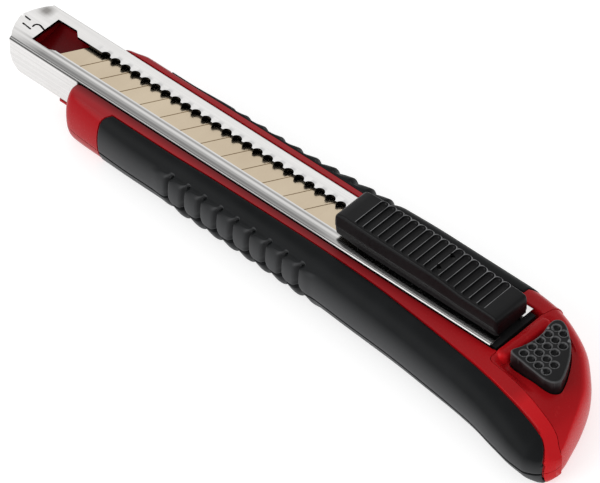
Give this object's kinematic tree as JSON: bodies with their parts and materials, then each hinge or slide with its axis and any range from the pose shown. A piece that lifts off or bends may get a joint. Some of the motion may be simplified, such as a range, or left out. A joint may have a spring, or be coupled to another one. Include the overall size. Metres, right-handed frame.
{
  "type": "utility knife",
  "caption": "Snap-off utility knife with a steel blade channel, red and black rubber-grip handle, ribbed locking slider and a push-button end cap.",
  "frame": {"origin": "on the flat back of the handle, under the middle of the blade channel", "axes": "+X runs from the blade end to the tail, +Y to the thumb side, +Z out of the slotted face; the back faces -Z"},
  "size_m": [0.1407, 0.0302, 0.0179],
  "materials": {
    "red_plastic": "gloss",
    "dark_red_plastic": "gloss",
    "grip_rubber": "soft matte rubber",
    "black_plastic": "satin moulded",
    "channel_steel": "rolled, lengthwise brushed",
    "blade_steel": "satin, oiled, warm tint",
    "spring_steel": "satin",
    "fastener_steel": "zinc plated"
  },
  "bodies": {
    "handle": {"handle_front": "red_plastic", "handle_back": "red_plastic", "grip_finger": "grip_rubber", "grip_finger_back": "grip_rubber", "grip_thumb": "grip_rubber", "grip_thumb_back": "grip_rubber", "blade_channel": "channel_steel", "channel_bed": "dark_red_plastic", "body_screws": "fastener_steel"},
    "slider": {"blade": "blade_steel", "blade_carrier": "black_plastic", "blade_holder": "fastener_steel", "blade_pin": "fastener_steel", "slider_pad": "black_plastic", "lock_spring": "spring_steel", "slider_pins": "fastener_steel"},
    "cap": {"end_cap": "red_plastic", "cap_floor": "red_plastic", "button_spring": "spring_steel", "cap_latch": "spring_steel"},
    "button": {"cap_button": "black_plastic"}
  },
  "joints": [
    {"name": "slider_slide", "type": "slide", "parent": "handle", "child": "slider", "axis": [-1, 0, 0], "range_m": [0, 0.06], "deforming": ["lock_spring"]},
    {"name": "cap_slide", "type": "slide", "parent": "handle", "child": "cap", "axis": [1, 0, 0], "range_m": [0, 0.034]},
    {"name": "button_press", "type": "slide", "parent": "cap", "child": "button", "axis": [0, 0, -1], "range_m": [0, 0.0013], "stiffness_N_per_m": 1500, "deforming": ["button_spring", "cap_latch"]}
  ]
}
